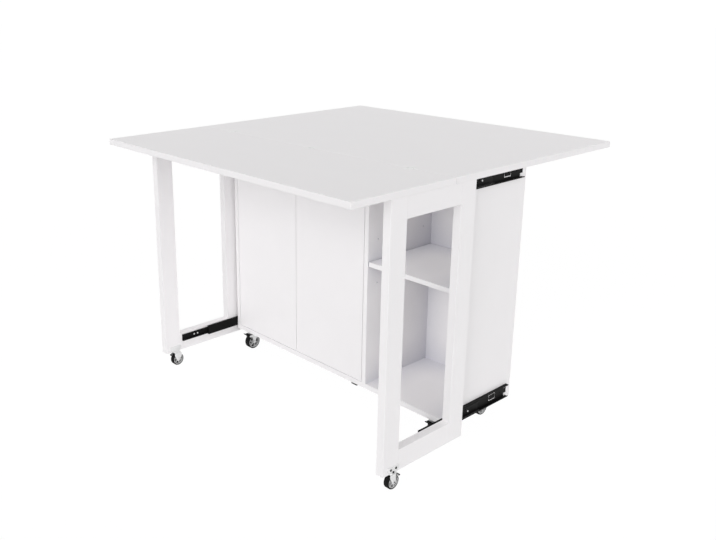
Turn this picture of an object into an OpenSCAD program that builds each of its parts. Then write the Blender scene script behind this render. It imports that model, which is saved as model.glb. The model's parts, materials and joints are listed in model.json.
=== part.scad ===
// Folding kitchen island on wheels: a cabinet with two doors and an open bay, a fixed
// top with a flip-over front leaf, and two gate frames that pull out on ball slides to
// carry the leaf. +Z up, +X to the open bay, doors towards -Y, origin on the floor.

/* [Tabletop] */
// Length of the tabletop along X
top_length = 1200; // [1050:10:1400]
// Depth of the fixed top and the leaf together
top_depth = 1257; // [1100:1:1400]
// Thickness of the fixed top and the leaf
top_thick = 20; // [16:1:30]
// Depth of the front leaf
leaf_depth = 418; // [400:1:440]
// Gap between the leaf and the fixed top
seam_gap = 1.2; // [1:0.1:2]
// Chamfer round the edges of the tabletop
top_chamfer = 0.8; // [0.3:0.1:1.5]
// Height of the working surface above the floor
work_height = 914; // [860:1:960]

/* [Cabinet] */
// From the front edge of the fixed top back to the doors
cabinet_setback = 86; // [78:1:110]
// Depth of the cabinet along Y
cabinet_depth = 336; // [325:1:420]
// Thickness of the side, divider and bottom panels and of the top rails
panel_t = 18; // [16:1:22]
// Thickness of the back panel
back_t = 12; // [6:1:16]
// Chamfer round the edges of the boards
board_edge = 0.4; // [0.2:0.1:0.8]
// Width of the flat rails under the fixed top
rail_w = 80; // [60:1:110]
// From the cabinet's sides in to the outer screws of the fixed top
top_screw_in = 90; // [50:5:150]
// Clear width of the open bay
bay_width = 346; // [300:1:400]
// Diameter of the wooden dowels
dowel_d = 8; // [6:1:10]
// Length of the wooden dowels
dowel_len = 30; // [24:1:36]

/* [Shelves] */
// Thickness of the shelves
shelf_t = 16; // [14:1:19]
// From the cabinet floor up to the top of a shelf
shelf_height = 450; // [380:1:560]
// From the front of the cabinet back to the bay shelf
bay_shelf_setback = 2; // [0:1:20]
// From the front of the cabinet back to the cupboard shelf
cupboard_shelf_setback = 34; // [28:1:60]
// Diameter of the shelf clip pins
clip_pin_d = 5; // [4:0.5:6]
// Depth of the holes for the clip pins
clip_hole_depth = 7.5; // [6:0.5:7.5]
// Height between the rows of clip holes
clip_row_step = 77.5; // [50:0.5:100]
// From the front of the cabinet back to the front clip holes
clip_front = 48; // [40:1:80]
// From the back panel forward to the back clip holes
clip_back = 44; // [30:1:80]

/* [Doors] */
// Thickness of the doors
door_t = 16; // [14:1:18]
// Gap round each door
door_gap = 2; // [1.8:0.1:3]
// Diameter of the door pivot pins
pivot_d = 5; // [4:0.5:6]
// From a door's hinge edge to its pivot
pivot_in = 11; // [10.5:0.5:12]
// From the front of a door back to its pivot
pivot_back = 6; // [5.8:0.1:6]
// Length of a pivot pin
pivot_len = 24; // [20:1:28]

/* [Push latches] */
// Width of a latch housing
latch_w = 16; // [14:1:24]
// Height of a latch housing
latch_h = 15; // [13:1:20]
// Length of a latch housing
latch_len = 46; // [40:1:56]
// Diameter of a latch plunger
plunger_d = 8; // [6:0.5:10]
// How far a door is pushed in to release the latch
plunger_travel = 3; // [2:0.5:4]
// Diameter of the strike plate on a door
strike_d = 14; // [12:1:20]

/* [Leaf hinges] */
// Distance of the outer hinges from the middle of the top
hinge_x = 430; // [300:5:520]
// Width of a hinge along X
hinge_w = 30; // [24:1:40]
// Length of each hinge plate from the seam
hinge_reach = 28; // [24:1:40]
// Depth of the hinge pins below the surface
hinge_pin_depth = 2.5; // [2.3:0.1:2.5]
// Distance of each hinge pin from the middle of the seam
hinge_pin_in = 5; // [5:0.1:6]
// Diameter of the hinge pins
hinge_pin_d = 2.4; // [2:0.1:2.6]
// Thickness of the hinge plates
hinge_t = 4.8; // [4:0.1:5]
// Width of the link between the hinge's ears
link_w = 12; // [8:1:16]

/* [Gate frames] */
// From each end of the top in to the outer face of a frame
end_inset = 12.5; // [5:0.5:25]
// Thickness of the frame boards
frame_t = 28; // [22:1:32]
// Depth of a frame along Y
frame_depth = 365; // [330:1:380]
// Width of the frame stiles
stile_w = 65; // [55:1:80]
// Height of a frame's top rail
top_rail_h = 67.5; // [55:0.5:90]
// Height of a frame's bottom rail
bottom_rail_h = 68.5; // [60:0.5:90]
// Height of the frames above the floor
frame_lift = 52.5; // [51.5:0.5:58]
// Gap between a frame and the underside of the leaf
frame_top_gap = 0.8; // [0.5:0.1:1]
// From the front edge of the fixed top back to a frame pushed in
frame_setback = 12; // [6:1:20]
// How far a frame pulls out
frame_pull = 268; // [220:1:275]

/* [Ball slides] */
// Length of each slide member
slide_len = 300; // [290:5:315]
// Height of the outer member
slide_h = 45; // [42:0.5:46]
// Thickness of a slide, from the cabinet's side to the frame
slide_t = 12.7; // [12.7:0.1:14]
// Thickness of the slide's sheet steel
sheet = 1.2; // [1:0.1:1.5]
// Diameter of the slide's balls
ball_d = 3.5; // [3:0.1:3.6]
// From the front of the cabinet back to the outer members
slide_inset = 14; // [4:1:20]
// How far the middle members run ahead of the outer ones when pushed in
middle_lead = 26; // [0:2:40]
// How far the inner members run ahead of the outer ones when pushed in
inner_lead = 13; // [0:1:20]
// From the front of an outer member back to its front screw
outer_screw_front = 94; // [80:1:120]
// From the back of an outer member forward to its back screw
outer_screw_back = 32; // [20:1:36]
// From the front of an outer member back to its pressed tab
slide_tab_front = 204; // [140:1:210]
// Length of the pressed tab
slide_tab_len = 33; // [24:1:36]
// Height of the pressed tab
slide_tab_h = 20; // [14:0.5:22]
// From the front of an inner member back to its first screw
inner_screw_front = 57; // [40:1:70]
// Diameter of the stop studs on the middle members
stud_d = 6; // [4:0.5:8]
// From the front of a middle member back to its stop stud
stud_front = 240; // [230:1:280]
// From the bottom of a frame up to the middle of its lower slide
low_slide_up = 48.5; // [46:0.5:52]
// From the top of a frame down to the middle of its upper slide
high_slide_down = 23.6; // [23.4:0.1:30]

/* [Cabinet casters] */
// Height of a cabinet caster
caster_h = 72; // [68:1:80]
// Diameter of the wheels
wheel_d = 58; // [50:1:59]
// Width of the wheels
wheel_w = 24; // [18:1:26]
// From each side of the cabinet in to a caster's swivel axis
caster_in_x = 67; // [64:1:90]
// From the front and back of the cabinet in to a swivel axis
caster_in_y = 46; // [42:1:60]
// From a caster's swivel axis to its axle
trail = 24; // [20:1:28]
// Width of a caster's mounting plate
plate_w = 62; // [56:1:70]
// Diameter of the axles
axle_d = 6; // [5:0.5:8]
// Tilt of a released brake pedal
pedal_tilt = 22.5; // [19:0.5:24]
// Length of a brake pedal from its pivot
pedal_len = 16.5; // [12:0.5:18]

/* [Frame casters] */
// Diameter of the wheels under the frames
frame_wheel_d = 48; // [44:1:48]
// Width of the wheels under the frames
frame_wheel_w = 18; // [14:1:20]
// From the front of a frame back to its caster's axle
frame_caster_back = 43; // [30:1:60]
// Height of the bracket's plate on the frame
bracket_h = 24; // [22:1:26]
// Width of the bracket's plate
bracket_w = 48; // [40:1:50]
// From the middle of a wheel to the face that its bracket is screwed to
frame_wheel_off = 5.5; // [4:0.5:6]

/* [Glide pad] */
// From the middle of the cabinet along X to the glide pad
glide_x = 127; // [60:1:200]
// Length of the glide pad along X
glide_len = 26; // [16:1:40]
// Width of the glide pad along Y
glide_w = 20; // [12:1:30]
// Height of the glide pad
glide_h = 6; // [3:0.5:10]
// From the front of the cabinet back to the glide pad
glide_inset = 2; // [1:1:10]

/* [Hidden] */
$fn = 48;

white = "whitesmoke";
enamel = "white";
steel = "silver";
black = [0.1, 0.1, 0.11];
grey = [0.6, 0.61, 0.62];
birch = "burlywood";

// Clearances: a running fit, a slip fit in a drilled hole, and a gap between moving pieces
run = 0.05;
slip = 0.05;
air = 0.3;
eps = 0.01;

// Places along Y
y_top_front = -top_depth / 2;
y_top_back = top_depth / 2;
y_seam = y_top_front + leaf_depth + seam_gap / 2;
y_fixed = y_seam + seam_gap / 2;
y_cab = y_fixed + cabinet_setback;
y_cab_back = y_cab + cabinet_depth;
y_back_in = y_cab_back - back_t;
y_frame = y_fixed + frame_setback - frame_pull;
y_slide = y_cab + slide_inset;

// Places along Z
z_under = work_height - top_thick;
z_cab = caster_h;
z_floor = z_cab + panel_t;
z_rail = z_under - panel_t;
z_frame_top = z_under - frame_top_gap;
z_slides = [frame_lift + low_slide_up, z_frame_top - high_slide_down];

// Places along X
x_end = top_length / 2;
x_frame_out = x_end - end_inset;
x_frame_in = x_frame_out - frame_t;
x_side = x_frame_in - slide_t;
x_in = x_side - panel_t;
x_div = x_in - bay_width;
x_div_left = x_div - panel_t;

// Doors: two equal leaves between the left side panel and the divider
opening_w = x_div_left + x_in;
door_w = (opening_w - 3 * door_gap) / 2;
x_left_door = -x_in + door_gap;
x_right_door = x_div_left - door_gap - door_w;
x_door_seam = (x_left_door + door_w + x_right_door) / 2;
z_door = z_floor + door_gap;
z_door_top = z_rail - door_gap;
x_pivots = [x_left_door + pivot_in, x_right_door + door_w - pivot_in];
y_pivot = y_cab + pivot_back;
bush_d = pivot_d + 3;
bush_flange_d = pivot_d + 5.5;
bush_len = 11;
// The pins stop short of the bottom of their bushes
pivot_in_door = pivot_len - door_gap - bush_len + 1;

// Shelf clips
clip_plate_t = 2;
clip_ledge = 10;
clip_ledge_t = 2.5;
clip_w = 14;
clip_gap = 0.3;
z_shelf = z_floor + shelf_height - shelf_t;
z_clip = z_shelf + 0.65 * shelf_t;
clip_rows = [z_clip - clip_row_step, z_clip, z_clip + clip_row_step];
clip_columns = [y_cab + clip_front, y_back_in - clip_back];

// Ball slides, measured from the cabinet's side face: each row is where a channel's web
// starts, where its lips end and its height
ball_gap = ball_d + 0.2;
middle_h = slide_h - 2 * sheet - 2 * ball_gap;
inner_h = middle_h - 2 * sheet - 2 * ball_gap;
lip = 2.4;
outer_channel = [0, slide_t - 2.2, slide_h];
middle_channel = [sheet + 1, slide_t - 1.3, middle_h];
inner_channel = [slide_t, 4.6, inner_h];
y_middle = y_slide - frame_pull / 2 - middle_lead;
y_inner = y_slide - frame_pull - inner_lead;
ball_rows = 5;
ball_pitch = 14;
slide_screw_r = 1.8;
slide_screw_len = 9;
outer_screw_ys = [y_slide + outer_screw_front, y_slide + slide_len - outer_screw_back];
inner_screw_ys = [for (step = [0, 16, 146]) y_inner + inner_screw_front + step];
tab_slot = 3;
tab_bridge = 3;
notch_len = 13;
tongue_h = 18;
stud_end = 9.9;

// Leaf hinges
hinge_xs = [-hinge_x, 0, hinge_x];
hinge_r = hinge_pin_depth - 0.1;
z_pin = work_height - hinge_pin_depth;
hinge_pocket = 0.2;
hinge_screw_r = 1.5;
hinge_screw_head = 3;
hinge_screw_len = 12;
hinge_screw_u = hinge_reach - 6;

// Cabinet casters
x_caster = x_side - caster_in_x;
y_casters = [y_cab + caster_in_y, y_cab_back - caster_in_y];
plate_t = 2.5;
cup_h = 5;
cup_r = 19;
kingpin_r = 4;
fork_top = z_cab - plate_t - cup_h - air;
fork_head_t = 4;
fork_leg_t = 2;
fork_in = wheel_w / 2 + 1.2;
fork_out = fork_in + fork_leg_t;
z_axle = wheel_d / 2;
caster_screw_r = 2;
caster_screw_len = 14;
caster_screw_in = plate_w / 2 - 8;
pedal_pivot = [trail + 20, z_axle + 30.5];
pedal_pin_r = 1.5;
pedal_hub_r = 3.2;
// Reach of the shoe that the pedal presses on the tyre
pedal_shoe = 7.9;
tyre_t = 4.5;

// Frame casters: on the right frame's outer face and, turned half round, on the left
// frame's inner face
bracket_t = 2;
z_frame_axle = frame_wheel_d / 2;
y_frame_axle = y_frame + frame_caster_back;
x_frame_wheels = [x_frame_out - frame_wheel_off, -x_frame_in + bracket_t + frame_wheel_off];
leg_t = 1.5;
leg_gap = 0.7;
lever_t = 2;
lever_at = [13, 20.5];
lever_tilt = 20;
lever_len = 12;
lever_pin_r = 1.5;
bracket_screws = [[-11.3, 14], [11.3, 14], [0, 3.5]];
bracket_screw_r = 1.6;
bracket_screw_len = 9;
bracket_head_h = 1.8;

// A box between two corners
module box(lo, hi) {
    translate(lo) cube(hi - lo);
}

module chamfered_rect(w, h, c) {
    polygon([[c, 0], [w - c, 0], [w, c], [w, h - c], [w - c, h], [c, h], [0, h - c], [0, c]]);
}

// A box between two corners with every edge chamfered
module board(lo, hi, c) {
    s = hi - lo;
    translate(lo) intersection() {
        linear_extrude(s.z) chamfered_rect(s.x, s.y, c);
        rotate([90, 0, 90]) linear_extrude(s.x) chamfered_rect(s.y, s.z, c);
        translate([0, s.y, 0]) rotate([90, 0, 0]) linear_extrude(s.y) chamfered_rect(s.x, s.z, c);
    }
}

module x_rod(x0, x1, y, z, r) {
    translate([x0, y, z]) rotate([0, 90, 0]) cylinder(h = x1 - x0, r = r);
}

module y_rod(x, y0, y1, z, r) {
    translate([x, y0, z]) rotate([-90, 0, 0]) cylinder(h = y1 - y0, r = r);
}

module z_rod(x, y, z0, z1, r) {
    translate([x, y, z0]) cylinder(h = z1 - z0, r = r);
}

// Copies its children onto the left side
module left_side() {
    mirror([1, 0, 0]) children();
}

// Leaf hinge: a flush plate with two ears, side -1 for the leaf and 1 for the fixed top
module hinge_plate(x, side) {
    pin = hinge_pin_in * side;
    near = (hinge_pin_in + hinge_r + 0.8) * side;
    far = hinge_reach * side;
    translate([x, y_seam, 0]) difference() {
        union() {
            box([-hinge_w / 2, min(near, far), work_height - hinge_t],
                [hinge_w / 2, max(near, far), work_height]);
            for (s = [-1, 1]) {
                x0 = s > 0 ? link_w / 2 + 0.2 : -hinge_w / 2;
                x1 = s > 0 ? hinge_w / 2 : -link_w / 2 - 0.2;
                x_rod(x0, x1, pin, z_pin, hinge_r);
                box([x0, min(pin, near + side * eps), z_pin - hinge_r],
                    [x1, max(pin, near + side * eps), z_pin + hinge_r]);
            }
        }
        x_rod(-hinge_w, hinge_w, pin, z_pin, hinge_pin_d / 2 + run);
        for (s = [-1, 1]) hinge_screw_hole(s * hinge_w / 4, hinge_screw_u * side, slip);
    }
}

module hinge_screw_hole(x, y, play) {
    translate([x, y, work_height - hinge_t - hinge_screw_len - play])
        cylinder(h = hinge_t + hinge_screw_len + play + eps, r = hinge_screw_r + play);
    translate([x, y, work_height - 2])
        cylinder(h = 2 + eps, r1 = hinge_screw_r + play, r2 = hinge_screw_head + play);
}

module hinge_screw(x, y) {
    translate([x, y, work_height - hinge_t - hinge_screw_len])
        cylinder(h = hinge_t + hinge_screw_len - 0.2, r = hinge_screw_r);
    translate([x, y, work_height - 2])
        cylinder(h = 1.8, r1 = hinge_screw_r, r2 = hinge_screw_head - 0.1);
}

module hinge_set(side) {
    for (x = hinge_xs) {
        color(enamel) hinge_plate(x, side);
        for (s = [-1, 1])
            color(enamel) hinge_screw(x + s * hinge_w / 4, y_seam + hinge_screw_u * side);
    }
}

// What is cut from a board for its half of each hinge
module hinge_pockets(side) {
    near = (hinge_pin_in + hinge_r + 0.8) * side;
    far = (hinge_reach + hinge_pocket) * side;
    w = hinge_w / 2 + hinge_pocket;
    for (x = hinge_xs) {
        translate([x, y_seam, 0])
            box([-w, min(0, far), work_height - hinge_t], [w, max(0, far), work_height + 1]);
        translate([x, y_seam, 0])
            box([-w, min(0, near), z_pin - hinge_r - 0.4], [w, max(0, near), work_height + 1]);
        for (s = [-1, 1])
            hinge_screw_hole(x + s * hinge_w / 4, y_seam + hinge_screw_u * side, slip);
    }
}

module fixed_top() {
    color(white) difference() {
        board([-x_end, y_fixed, z_under], [x_end, y_top_back, work_height], top_chamfer);
        hinge_pockets(1);
        for (p = top_screw_places()) z_rod(p.x, p.y, z_under - 1, z_under + 12, 2 + slip);
    }
}

module front_leaf() {
    color(white) difference() {
        board([-x_end, y_top_front, z_under], [x_end, y_seam - seam_gap / 2, work_height], top_chamfer);
        hinge_pockets(-1);
    }
}

module top_hinge_plates() {
    hinge_set(1);
}

module leaf_hinge_plates() {
    hinge_set(-1);
}

module hinge_links() {
    color(enamel) for (x = hinge_xs) translate([x, y_seam, 0]) difference() {
        union() {
            for (s = [-1, 1]) x_rod(-link_w / 2, link_w / 2, s * hinge_pin_in, z_pin, hinge_r);
            box([-link_w / 2, -hinge_pin_in, z_pin - hinge_r],
                [link_w / 2, hinge_pin_in, z_pin + hinge_r]);
        }
        for (s = [-1, 1]) x_rod(-link_w, link_w, s * hinge_pin_in, z_pin, hinge_pin_d / 2 + slip);
    }
}

module hinge_pins() {
    color(steel) for (x = hinge_xs, s = [-1, 1])
        x_rod(x - hinge_w / 2, x + hinge_w / 2, y_seam + s * hinge_pin_in, z_pin, hinge_pin_d / 2);
}

// Where screws go up through the rails into the fixed top
function top_screw_places() = [for (x = [-x_in + top_screw_in, 0, x_in - top_screw_in])
    for (y = [y_cab + rail_w / 2, y_back_in - rail_w / 2]) [x, y]];

module top_screws() {
    color(steel) for (p = top_screw_places()) {
        z_rod(p.x, p.y, z_rail - 0.5, z_under + 11.5, 2);
        z_rod(p.x, p.y, z_rail - 2.5, z_rail, 4.5);
    }
}

// Dowels between a side panel and the ends of the bottom panel and rails
dowel_places = [
    [y_cab + 82, z_cab + panel_t / 2], [y_back_in - 82, z_cab + panel_t / 2],
    [y_cab + rail_w / 2, z_rail + panel_t / 2], [y_back_in - rail_w / 2, z_rail + panel_t / 2]];
dowel_in_side = panel_t - 7;

module dowel_bores(play) {
    for (p = dowel_places)
        x_rod(x_in + dowel_in_side - dowel_len - play, x_in + dowel_in_side + play, p.x, p.y,
              dowel_d / 2 + play);
}

// Upright dowels between the divider and the bottom panel and rails
module divider_dowels(play) {
    for (y = [y_cab + 30, y_back_in - 30], z = [z_floor, z_rail])
        z_rod(x_div - panel_t / 2, y, z - dowel_len / 2 - play, z + dowel_len / 2 + play,
              dowel_d / 2 + play);
}

// Dowels from the back panel into the bottom panel and the back rail
module back_dowels(play) {
    for (x = [-x_in * 0.6, 0, x_in * 0.6], z = [z_cab + panel_t / 2, z_rail + panel_t / 2])
        y_rod(x, y_back_in - dowel_len + 7 - play, y_back_in + 7 + play, z, dowel_d / 2 + play);
}

module dowels() {
    color(birch) {
        dowel_bores(0);
        left_side() dowel_bores(0);
        divider_dowels(0);
        back_dowels(0);
    }
}

// Holes for the shelf clips, drilled from a wall at x towards dir
module clip_holes(x, dir) {
    for (y = clip_columns, z = clip_rows)
        x_rod(dir > 0 ? x - 1 : x - clip_hole_depth, dir > 0 ? x + clip_hole_depth : x + 1,
              y, z, clip_pin_d / 2 + slip);
}

module slide_screw_holes() {
    for (z = z_slides, y = outer_screw_ys)
        x_rod(x_side - slide_screw_len - slip, x_side + 1, y, z, slide_screw_r + slip);
}

module side_board() {
    difference() {
        board([x_in, y_cab, z_cab], [x_side, y_cab_back, z_under], board_edge);
        dowel_bores(slip);
        clip_holes(x_in, 1);
        slide_screw_holes();
    }
}

module right_side_panel() {
    color(white) side_board();
}

module left_side_panel() {
    color(white) left_side() side_board();
}

module divider_panel() {
    color(white) difference() {
        board([x_div_left, y_cab, z_floor], [x_div, y_back_in, z_rail], board_edge);
        divider_dowels(slip);
        clip_holes(x_div, -1);
        clip_holes(x_div_left, 1);
    }
}

module bottom_panel() {
    color(white) difference() {
        board([-x_in, y_cab, z_cab], [x_in, y_back_in, z_floor], board_edge);
        dowel_bores(slip);
        left_side() dowel_bores(slip);
        divider_dowels(slip);
        back_dowels(slip);
        for (x = x_pivots) z_rod(x, y_pivot, z_floor - bush_len, z_floor + 1, bush_d / 2 + slip);
        for (p = caster_screw_places())
            z_rod(p.x, p.y, z_cab - 1, z_cab + caster_screw_len + slip - plate_t,
                  caster_screw_r + slip);
    }
}

module back_panel() {
    color(white) difference() {
        board([-x_in, y_back_in, z_cab], [x_in, y_cab_back, z_under], board_edge);
        back_dowels(slip);
    }
}

module top_rail_board(y0) {
    difference() {
        board([-x_in, y0, z_rail], [x_in, y0 + rail_w, z_under], board_edge);
        dowel_bores(slip);
        left_side() dowel_bores(slip);
        divider_dowels(slip);
        back_dowels(slip);
        for (p = top_screw_places()) z_rod(p.x, p.y, z_rail - 1, z_under + 1, 2 + slip);
        for (x = x_pivots) z_rod(x, y_pivot, z_rail - 1, z_rail + bush_len, bush_d / 2 + slip);
    }
}

module front_top_rail() {
    color(white) top_rail_board(y_cab);
}

module back_top_rail() {
    color(white) top_rail_board(y_back_in - rail_w);
}

module shelf_board(x0, x1, y0) {
    play = clip_plate_t + clip_gap;
    board([x0 + play, y0, z_shelf], [x1 - play, y_back_in - 1, z_shelf + shelf_t], board_edge);
}

module bay_shelf() {
    color(white) shelf_board(x_div, x_in, y_cab + bay_shelf_setback);
}

module cupboard_shelf() {
    color(white) shelf_board(-x_in, x_div_left, y_cab + cupboard_shelf_setback);
}

// A clip on a wall at x that reaches towards dir
module clip(x, y, dir) {
    xs = [x - dir * (clip_hole_depth - 0.3), x, x + dir * clip_plate_t, x + dir * clip_ledge];
    union() {
        x_rod(min(xs[0], xs[2]), max(xs[0], xs[2]), y, z_clip, clip_pin_d / 2);
        box([min(xs[1], xs[2]), y - clip_w / 2, z_shelf - clip_ledge_t],
            [max(xs[1], xs[2]), y + clip_w / 2, z_shelf + shelf_t - 1]);
        box([min(xs[1], xs[3]), y - clip_w / 2, z_shelf - clip_ledge_t],
            [max(xs[1], xs[3]), y + clip_w / 2, z_shelf]);
    }
}

module shelf_clips() {
    color(steel) for (y = clip_columns) {
        clip(x_div, y, 1);
        clip(x_in, y, -1);
        clip(-x_in, y, 1);
        clip(x_div_left, y, -1);
    }
}

// Doors hang on a pin at the bottom and one at the top, each in a flanged bush
module bush(x, low) {
    z0 = low ? z_floor : z_rail;
    dir = low ? -1 : 1;
    flange = door_gap - air;
    difference() {
        union() {
            z_rod(x, y_pivot, min(z0, z0 + dir * bush_len), max(z0, z0 + dir * bush_len), bush_d / 2);
            z_rod(x, y_pivot, min(z0, z0 - dir * flange), max(z0, z0 - dir * flange),
                  bush_flange_d / 2);
        }
        z_rod(x, y_pivot, min(z0 + dir * (bush_len - 0.5), z0 - dir * 4),
              max(z0 + dir * (bush_len - 0.5), z0 - dir * 4), pivot_d / 2 + run);
    }
}

module pivot_bushes() {
    color(enamel) for (x = x_pivots, low = [true, false]) bush(x, low);
}

module pivot_pin(x, low, play) {
    z0 = low ? z_floor : z_rail;
    dir = low ? -1 : 1;
    a = z0 + dir * (bush_len - 1);
    b = z0 - dir * (door_gap + pivot_in_door + play);
    z_rod(x, y_pivot, min(a, b), max(a, b), pivot_d / 2 + play);
}

module door_board(x0, i) {
    difference() {
        board([x0, y_cab, z_door], [x0 + door_w, y_cab + door_t, z_door_top], board_edge);
        for (low = [true, false]) pivot_pin(x_pivots[i], low, slip);
        y_rod(x_strikes[i], y_cab + door_t - 1, y_cab + door_t + 1, z_latch, strike_d / 2 + slip);
    }
}

module left_door() {
    color(white) door_board(x_left_door, 0);
}

module right_door() {
    color(white) door_board(x_right_door, 1);
}

// Push latches under the front rail, each with a plunger against its door's strike plate
z_latch = z_rail - latch_h / 2;
x_strikes = [x_door_seam - 30, x_door_seam + 30];
y_latch = y_cab + door_t + 4;
plunger_len = latch_len - 12;

module door_fittings(i) {
    color(steel) for (low = [true, false]) pivot_pin(x_pivots[i], low, 0);
    color(steel) y_rod(x_strikes[i], y_cab + door_t - 1, y_cab + door_t, z_latch, strike_d / 2);
}

module left_door_fittings() {
    door_fittings(0);
}

module right_door_fittings() {
    door_fittings(1);
}

module latch_housings() {
    color(enamel) for (x = x_strikes) difference() {
        box([x - latch_w / 2, y_latch, z_rail - latch_h], [x + latch_w / 2, y_latch + latch_len, z_rail]);
        y_rod(x, y_latch - 1, y_cab + door_t + plunger_len + plunger_travel + 2, z_latch,
              plunger_d / 2 + run);
    }
}

module latch_plunger(x) {
    color(grey) y_rod(x, y_cab + door_t + air, y_cab + door_t + plunger_len, z_latch, plunger_d / 2);
}

module left_latch_plunger() {
    latch_plunger(x_strikes[0]);
}

module right_latch_plunger() {
    latch_plunger(x_strikes[1]);
}

// Gate frame boards on the right; the left frame is their mirror image
tenon_t = 8;
tenon_len = 20;
tenon_shoulder = 18;
frame_rails = [[frame_lift, frame_lift + bottom_rail_h], [z_frame_top - top_rail_h, z_frame_top]];

// Tenons at both ends of a rail between heights zs
module tenons(zs, play) {
    x0 = (x_frame_in + x_frame_out - tenon_t) / 2;
    for (y0 = [y_frame + stile_w - tenon_len, y_frame + frame_depth - stile_w - eps])
        box([x0 - play, y0 - play, zs[0] + tenon_shoulder - play],
            [x0 + tenon_t + play, y0 + tenon_len + eps + play, zs[1] - tenon_shoulder + play]);
}

module slide_bores() {
    for (z = z_slides, y = inner_screw_ys)
        x_rod(x_frame_in - 1, x_frame_in + slide_screw_len + slip, y, z, slide_screw_r + slip);
}

module stile(y0) {
    difference() {
        board([x_frame_in, y0, frame_lift], [x_frame_out, y0 + stile_w, z_frame_top], board_edge);
        for (zs = frame_rails) tenons(zs, slip);
        slide_bores();
    }
}

module rail(zs) {
    difference() {
        union() {
            board([x_frame_in, y_frame + stile_w, zs[0]],
                  [x_frame_out, y_frame + frame_depth - stile_w, zs[1]], board_edge);
            tenons(zs, 0);
        }
        slide_bores();
    }
}

// Holes in a front stile for its caster's screws, between x0 and x1
module bracket_bores(x0, x1) {
    for (p = bracket_screws)
        x_rod(x0, x1, y_frame_axle + p.x, frame_lift + p.y, bracket_screw_r + slip);
}

module right_frame_front_stile() {
    color(white) difference() {
        stile(y_frame);
        bracket_bores(x_frame_out - bracket_screw_len - slip, x_frame_out + 1);
    }
}

module left_frame_front_stile() {
    color(white) difference() {
        left_side() stile(y_frame);
        bracket_bores(-x_frame_out - 1, -x_frame_in + 1);
    }
}

module right_frame_back_stile() {
    color(white) stile(y_frame + frame_depth - stile_w);
}

module left_frame_back_stile() {
    color(white) left_side() stile(y_frame + frame_depth - stile_w);
}

module right_frame_top_rail() {
    color(white) rail(frame_rails[1]);
}

module left_frame_top_rail() {
    color(white) left_side() rail(frame_rails[1]);
}

module right_frame_bottom_rail() {
    color(white) rail(frame_rails[0]);
}

module left_frame_bottom_rail() {
    color(white) left_side() rail(frame_rails[0]);
}

// Channel of a slide: c holds where its web starts, where its lips end and its height
module channel(c, y0, z) {
    a = c[0];
    b = c[1];
    h = c[2] / 2;
    t = b > a ? sheet : -sheet;
    half = [[a, h], [b, h], [b, h - lip - sheet], [b - t, h - lip - sheet], [b - t, h - sheet],
            [a + t, h - sheet]];
    low = [for (i = [5:-1:0]) [half[i].x, -half[i].y]];
    translate([x_side, y0 + slide_len, z]) rotate([90, 0, 0])
        linear_extrude(slide_len) polygon(concat(half, low));
}

// A row of balls in its cage, with its middle at height z
module ball_row(x, y0, z) {
    union() {
        for (i = [0:ball_rows - 1])
            translate([x, y0 + ball_pitch * (i + 0.5), z]) sphere(d = ball_d, $fn = 24);
        box([x - 1.4, y0, z - 0.5], [x + 1.4, y0 + ball_pitch * ball_rows, z + 0.5]);
    }
}

// Slots round a pressed tab in an outer member's web, with a bridge at each end
module tab_slots(z) {
    y0 = y_slide + slide_tab_front;
    for (t = [-1, 1]) {
        z_slot = z + t * slide_tab_h / 2;
        box([x_side - 1, y0 - tab_slot / 2, z_slot - tab_slot / 2],
            [x_side + 3, y0 + slide_tab_len + tab_slot / 2, z_slot + tab_slot / 2]);
        for (y = [y0, y0 + slide_tab_len])
            box([x_side - 1, y - tab_slot / 2, min(z + t * tab_bridge / 2, z_slot)],
                [x_side + 3, y + tab_slot / 2, max(z + t * tab_bridge / 2, z_slot)]);
    }
}

module outer_member(z) {
    y_end = y_slide + slide_len;
    difference() {
        channel(outer_channel, y_slide, z);
        // A notch above and below the tongue at the back end of the web
        for (zs = [[z - slide_h / 2 + 2, z - tongue_h / 2], [z + tongue_h / 2, z + slide_h / 2 - 2]])
            box([x_side - 1, y_end - notch_len, zs[0]], [x_side + 3, y_end + 1, zs[1]]);
        tab_slots(z);
        for (y = outer_screw_ys) x_rod(x_side - 1, x_side + 3, y, z, slide_screw_r + slip);
    }
}

module slide_outers() {
    color(black) for (z = z_slides) {
        outer_member(z);
        left_side() outer_member(z);
    }
}

module outer_screw(y, z) {
    union() {
        x_rod(x_side - slide_screw_len, x_side + sheet + 0.1, y, z, slide_screw_r);
        translate([x_side + sheet, y, z]) rotate([0, 90, 0]) cylinder(h = 0.7, r1 = 3.4, r2 = 2.4);
    }
}

module slide_screws() {
    color(steel) for (z = z_slides, y = outer_screw_ys) {
        outer_screw(y, z);
        left_side() outer_screw(y, z);
    }
}

module middle_member(z) {
    union() {
        channel(middle_channel, y_middle, z);
        x_rod(x_side + middle_channel[0] + eps, x_side + stud_end, y_middle + stud_front, z,
              stud_d / 2);
    }
    x_ball = x_side + slide_t / 2;
    row = ball_rows * ball_pitch;
    for (s = [-1, 1]) {
        ball_row(x_ball - 0.8, y_middle + slide_len - row - 6,
                 z + s * (slide_h / 2 - sheet - ball_gap / 2));
        ball_row(x_ball + 1.2, y_middle + middle_lead + 6,
                 z + s * (middle_h / 2 - sheet - ball_gap / 2));
    }
}

module right_slide_middles() {
    color(black) for (z = z_slides) middle_member(z);
}

module left_slide_middles() {
    color(black) left_side() for (z = z_slides) middle_member(z);
}

module inner_member(z) {
    difference() {
        channel(inner_channel, y_inner, z);
        for (y = inner_screw_ys)
            x_rod(x_frame_in - 3, x_frame_in + 1, y, z, slide_screw_r + slip);
    }
    for (y = inner_screw_ys) union() {
        x_rod(x_frame_in - sheet - 0.1, x_frame_in + slide_screw_len, y, z, slide_screw_r);
        x_rod(x_frame_in - sheet - 1.2, x_frame_in - sheet, y, z, 3.4);
    }
}

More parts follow.
